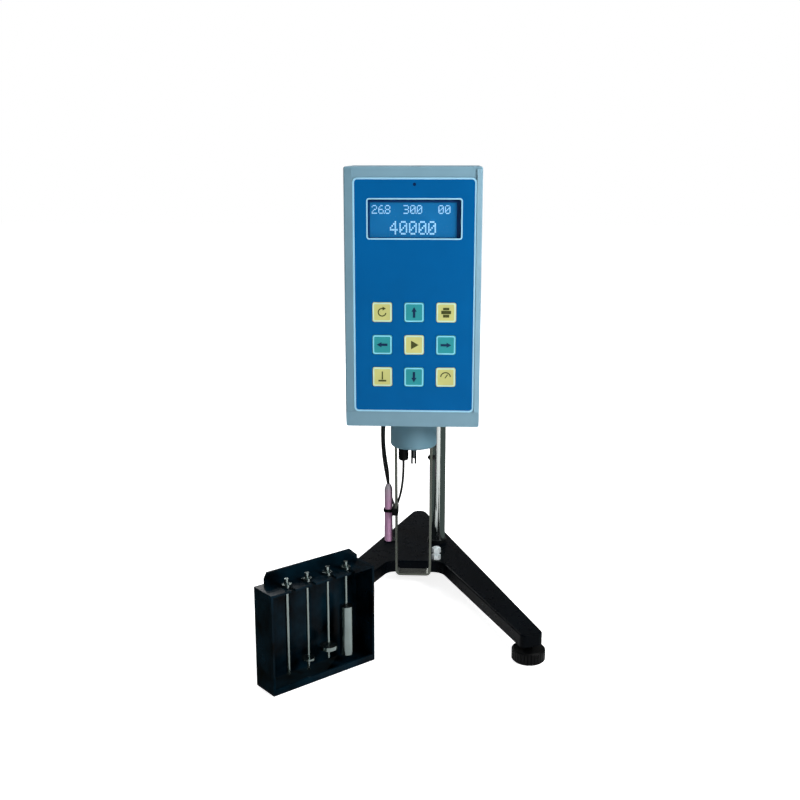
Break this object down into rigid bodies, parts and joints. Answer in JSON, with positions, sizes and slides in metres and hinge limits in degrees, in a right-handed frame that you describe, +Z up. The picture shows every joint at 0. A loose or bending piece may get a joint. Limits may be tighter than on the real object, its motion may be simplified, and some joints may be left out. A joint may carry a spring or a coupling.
{
  "type": "rotational viscometer",
  "caption": "Bench rotational viscometer: keyed display head with a guarded spindle drive and clipped temperature probe, lifting on a rack column over a splayed base.",
  "frame": {"origin": "on the table, in the middle of the space that the base and the spindle rack stand on", "axes": "+Z up along the column, control panel facing -Y, column to the back (+Y), spindle rack to the front left"},
  "size_m": [0.2606, 0.4184, 0.45],
  "materials": {
    "base_black": "gloss black paint on cast iron",
    "steel": "polished stainless",
    "bright_plate": "bright plated",
    "knob_black": "moulded black",
    "clamp_grey": "cast, painted grey",
    "housing_blue_grey": "satin paint",
    "panel_blue": "satin polyester overlay",
    "window_clear": "clear acrylic",
    "display_blue": "blue liquid crystal display",
    "board_green": "circuit board",
    "motor_black": "black",
    "collar_blue_grey": "satin paint",
    "screw_black": "black oxide",
    "level_green": "spirit level",
    "cable_black": "flexible sheath",
    "probe_pink": "moulded pink plastic",
    "probe_grey": "moulded grey plastic",
    "gear_brass": "hobbed brass",
    "rack_black": "gloss black sheet steel",
    "spindle_steel": "turned stainless",
    "key_yellow": "printed key cap",
    "key_teal": "printed key cap"
  },
  "bodies": {
    "stand": {"base_casting": "base_black", "socket_rings": "steel", "stop_stud_nuts": "bright_plate", "column": "steel", "column_nut": "bright_plate"},
    "foot_left": {"foot_left": "knob_black"},
    "foot_right": {"foot_right": "knob_black"},
    "foot_rear": {"foot_rear": "knob_black"},
    "carriage": {"lift_clamp": "clamp_grey", "clamp_bush": "knob_black"},
    "lift_shaft": {"pinion_shaft": "steel", "lift_knob": "knob_black"},
    "column_lock": {"column_lock_screw": "knob_black"},
    "rod_lock": {"rod_lock_screw": "knob_black"},
    "head": {"mounting_rod": "steel", "front_shell": "housing_blue_grey", "rear_cover": "housing_blue_grey", "cover_screws": "bright_plate", "control_panel": "panel_blue", "display_window": "window_clear", "lcd_module": "display_blue", "indicator_lens": "knob_black", "key_board": "board_green", "drive_bracket": "clamp_grey", "motor": "motor_black", "drive_bearings": "steel", "collar": "collar_blue_grey", "guard": "steel", "guard_screws": "screw_black", "bubble_level": "level_green", "power_inlet": "knob_black", "switch_frame": "knob_black", "serial_port": "bright_plate", "probe_plug": "knob_black", "probe_cable": "cable_black", "temperature_probe": "probe_pink", "probe_cap": "probe_grey", "probe_clip": "knob_black"},
    "power_rocker": {"power_rocker": "knob_black"},
    "motor_rotor": {"motor_pinion": "gear_brass"},
    "drive": {"drive_sleeve": "steel", "drive_gear": "gear_brass", "encoder_disc": "motor_black"},
    "measuring_shaft": {"spindle_shaft": "steel", "hairspring": "gear_brass", "spindle_coupling": "steel"},
    "spindle_rack": {"spindle_rack": "rack_black"},
    "key_reset": {"key_reset": "key_yellow"},
    "key_up": {"key_up": "key_teal"},
    "key_print": {"key_print": "key_yellow"},
    "key_left": {"key_left": "key_teal"},
    "key_run": {"key_run": "key_yellow"},
    "key_right": {"key_right": "key_teal"},
    "key_spindle": {"key_spindle": "key_yellow"},
    "key_down": {"key_down": "key_teal"},
    "key_speed": {"key_speed": "key_yellow"},
    "spindle_1": {"spindle_1": "spindle_steel"},
    "spindle_2": {"spindle_2": "spindle_steel"},
    "spindle_3": {"spindle_3": "spindle_steel"},
    "spindle_4": {"spindle_4": "spindle_steel"}
  },
  "joints": [
    {"name": "foot_left_height", "type": "slide", "parent": "stand", "child": "foot_left", "axis": [0, 0, -1], "range_m": [-0.004, 0.003]},
    {"name": "foot_right_height", "type": "slide", "parent": "stand", "child": "foot_right", "axis": [0, 0, -1], "range_m": [-0.004, 0.003]},
    {"name": "foot_rear_height", "type": "slide", "parent": "stand", "child": "foot_rear", "axis": [0, 0, -1], "range_m": [-0.004, 0.003]},
    {"name": "head_lift", "type": "slide", "parent": "stand", "child": "carriage", "axis": [0, 0, 1], "range_m": [-0.025, 0.085]},
    {"name": "lift_knob_turn", "type": "hinge", "parent": "carriage", "child": "lift_shaft", "pos_m": [0.02582, 0.1167, 0.304], "axis": [1, 0, 0], "range_deg": [-215, 705]},
    {"name": "column_lock_turn", "type": "hinge", "parent": "carriage", "child": "column_lock", "pos_m": [0.04382, 0.0996, 0.325], "axis": [1, 0, 0], "range_deg": [0, 120]},
    {"name": "rod_lock_turn", "type": "hinge", "parent": "carriage", "child": "rod_lock", "pos_m": [-0.01318, 0.1016, 0.322], "axis": [-1, 0, 0], "range_deg": [0, 120]},
    {"name": "head_roll", "type": "hinge", "parent": "carriage", "child": "head", "pos_m": [0.00282, 0.0896, 0.322], "axis": [0, 1, 0], "range_deg": [-5, 5]},
    {"name": "power_rocker_tilt", "type": "hinge", "parent": "head", "child": "power_rocker", "pos_m": [0.00282, 0.0321, 0.238], "axis": [1, 0, 0], "range_deg": [-16, 0]},
    {"name": "drive_spin", "type": "hinge", "parent": "head", "child": "drive", "pos_m": [0.00282, -0.0104, 0.23], "axis": [0, 0, 1], "continuous": true},
    {"name": "motor_spin", "type": "hinge", "parent": "head", "child": "motor_rotor", "pos_m": [-0.02918, -0.0104, 0.24], "axis": [0, 0, 1], "continuous": true},
    {"name": "spindle_twist", "type": "hinge", "parent": "drive", "child": "measuring_shaft", "pos_m": [0.00282, -0.0104, 0.23], "axis": [0, 0, 1], "range_deg": [0, 75], "stiffness_Nm_per_rad": 0.002},
    {"name": "rack_lift_off", "type": "slide", "parent": "stand", "child": "spindle_rack", "axis": [0, 0, 1], "range_m": [0, 0.1]},
    {"name": "key_reset_press", "type": "slide", "parent": "head", "child": "key_reset", "axis": [0, 1, 0], "range_m": [0, 0.0004], "stiffness_N_per_m": 4000},
    {"name": "key_up_press", "type": "slide", "parent": "head", "child": "key_up", "axis": [0, 1, 0], "range_m": [0, 0.0004], "stiffness_N_per_m": 4000},
    {"name": "key_print_press", "type": "slide", "parent": "head", "child": "key_print", "axis": [0, 1, 0], "range_m": [0, 0.0004], "stiffness_N_per_m": 4000},
    {"name": "key_left_press", "type": "slide", "parent": "head", "child": "key_left", "axis": [0, 1, 0], "range_m": [0, 0.0004], "stiffness_N_per_m": 4000},
    {"name": "key_run_press", "type": "slide", "parent": "head", "child": "key_run", "axis": [0, 1, 0], "range_m": [0, 0.0004], "stiffness_N_per_m": 4000},
    {"name": "key_right_press", "type": "slide", "parent": "head", "child": "key_right", "axis": [0, 1, 0], "range_m": [0, 0.0004], "stiffness_N_per_m": 4000},
    {"name": "key_spindle_press", "type": "slide", "parent": "head", "child": "key_spindle", "axis": [0, 1, 0], "range_m": [0, 0.0004], "stiffness_N_per_m": 4000},
    {"name": "key_down_press", "type": "slide", "parent": "head", "child": "key_down", "axis": [0, 1, 0], "range_m": [0, 0.0004], "stiffness_N_per_m": 4000},
    {"name": "key_speed_press", "type": "slide", "parent": "head", "child": "key_speed", "axis": [0, 1, 0], "range_m": [0, 0.0004], "stiffness_N_per_m": 4000},
    {"name": "spindle_1_out", "type": "slide", "parent": "spindle_rack", "child": "spindle_1", "axis": [0.6691, -0.7431, 0], "range_m": [0, 0.04]},
    {"name": "spindle_2_out", "type": "slide", "parent": "spindle_rack", "child": "spindle_2", "axis": [0.6691, -0.7431, 0], "range_m": [0, 0.04]},
    {"name": "spindle_3_out", "type": "slide", "parent": "spindle_rack", "child": "spindle_3", "axis": [0.6691, -0.7431, 0], "range_m": [0, 0.04]},
    {"name": "spindle_4_out", "type": "slide", "parent": "spindle_rack", "child": "spindle_4", "axis": [0.6691, -0.7431, 0], "range_m": [0, 0.04]}
  ],
  "couplings": [
    {"joint": "lift_knob_turn", "follows": "head_lift", "rad_per_m": 142.86},
    {"joint": "motor_spin", "follows": "drive_spin", "ratio": -3}
  ]
}
